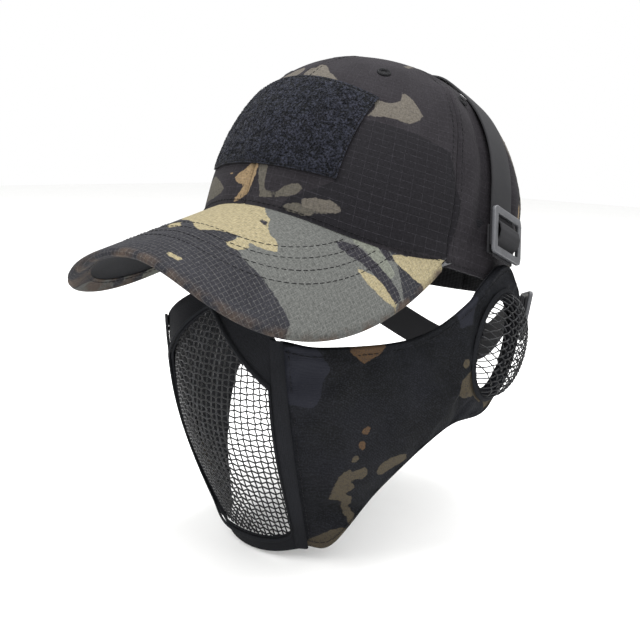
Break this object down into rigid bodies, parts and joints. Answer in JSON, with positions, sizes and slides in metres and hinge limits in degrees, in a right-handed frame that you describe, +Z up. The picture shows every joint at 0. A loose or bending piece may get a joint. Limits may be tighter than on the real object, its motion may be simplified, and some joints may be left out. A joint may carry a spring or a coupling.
{
  "type": "cap and mesh face mask set",
  "caption": "Six-panel camouflage cap with a curved visor, carrying a wire-mesh half-face mask with padded wings, mesh ear domes and webbing straps.",
  "frame": {"origin": "centre of the cap's head opening, where the wearer's head goes in", "axes": "+Z up, the wearer looks along -Y, the wearer's left is +X"},
  "size_m": [0.2126, 0.2616, 0.2647],
  "materials": {
    "ripstop": "matte ripstop cotton blend, dark camouflage",
    "black_cloth": "matte woven",
    "lining": "matte knit",
    "board": "semi-rigid plastic sheet",
    "pile": "brushed loop pile",
    "webbing": "woven polyester webbing",
    "nylon": "coated nylon, dark camouflage",
    "foam": "closed-cell padding",
    "steel_mesh": "black painted woven steel wire",
    "plastic": "satin moulded acetal"
  },
  "bodies": {
    "cap": {"front_panel_left": "ripstop", "front_panel_right": "ripstop", "side_panel_left": "ripstop", "side_panel_right": "ripstop", "back_panel_left": "ripstop", "back_panel_right": "ripstop", "sweatband": "black_cloth", "front_buckram": "lining", "top_button": "ripstop", "eyelet_front_left": "black_cloth", "eyelet_front_right": "black_cloth", "eyelet_side_left": "black_cloth", "eyelet_side_right": "black_cloth", "eyelet_back_left": "black_cloth", "eyelet_back_right": "black_cloth", "loop_patch": "pile", "closure_strap_right": "webbing", "visor_cover": "ripstop", "visor_board": "board", "visor_under_cover": "black_cloth", "visor_edge_piping": "ripstop", "crown_strap": "webbing"},
    "closure_flap": {"closure_strap_left": "webbing"},
    "mask": {"cheek_wing_left": "nylon", "cheek_wing_right": "nylon", "wing_foam_left": "foam", "wing_foam_right": "foam", "wing_lining_left": "lining", "wing_lining_right": "lining", "ear_dome_left": "steel_mesh", "ear_dome_right": "steel_mesh", "ear_dome_ring_left": "nylon", "ear_dome_ring_right": "nylon", "mask_surround": "black_cloth", "front_mesh": "steel_mesh", "mesh_edge_binding": "black_cloth", "cheek_seam_binding_left": "black_cloth", "cheek_seam_binding_right": "black_cloth", "ear_tab_left": "webbing", "ear_tab_right": "webbing", "neck_tab_left": "webbing", "neck_tab_right": "webbing", "neck_strap": "webbing"},
    "crown_adjuster_left": {"crown_left_glide": "plastic", "crown_left_glide_webbing": "webbing"},
    "neck_adjuster_left": {"neck_left_glide": "plastic", "neck_left_glide_webbing": "webbing"},
    "crown_adjuster_right": {"crown_right_glide": "plastic", "crown_right_glide_webbing": "webbing"},
    "neck_adjuster_right": {"neck_right_glide": "plastic", "neck_right_glide_webbing": "webbing"}
  },
  "joints": [
    {"name": "mask_tilt", "type": "hinge", "parent": "cap", "child": "mask", "pos_m": [0, 0.01357, 0.01891], "axis": [1, 0, 0], "range_deg": [-4, 8]},
    {"name": "closure_peel", "type": "hinge", "parent": "cap", "child": "closure_flap", "pos_m": [0.0547, 0.072, -0.01219], "axis": [0, -0.274, -0.9617], "range_deg": [0, 24]},
    {"name": "crown_strap_adjust_left", "type": "slide", "parent": "cap", "child": "crown_adjuster_left", "axis": [-0.2516, 0.3516, 0.9017], "range_m": [-0.003, 0.008]},
    {"name": "neck_strap_adjust_left", "type": "slide", "parent": "mask", "child": "neck_adjuster_left", "axis": [-0.6592, 0.7191, -0.2197], "range_m": [-0.003, 0.006]},
    {"name": "crown_strap_adjust_right", "type": "slide", "parent": "cap", "child": "crown_adjuster_right", "axis": [0.2516, 0.3516, 0.9017], "range_m": [-0.003, 0.008]},
    {"name": "neck_strap_adjust_right", "type": "slide", "parent": "mask", "child": "neck_adjuster_right", "axis": [0.6592, 0.7191, -0.2197], "range_m": [-0.003, 0.006]}
  ]
}
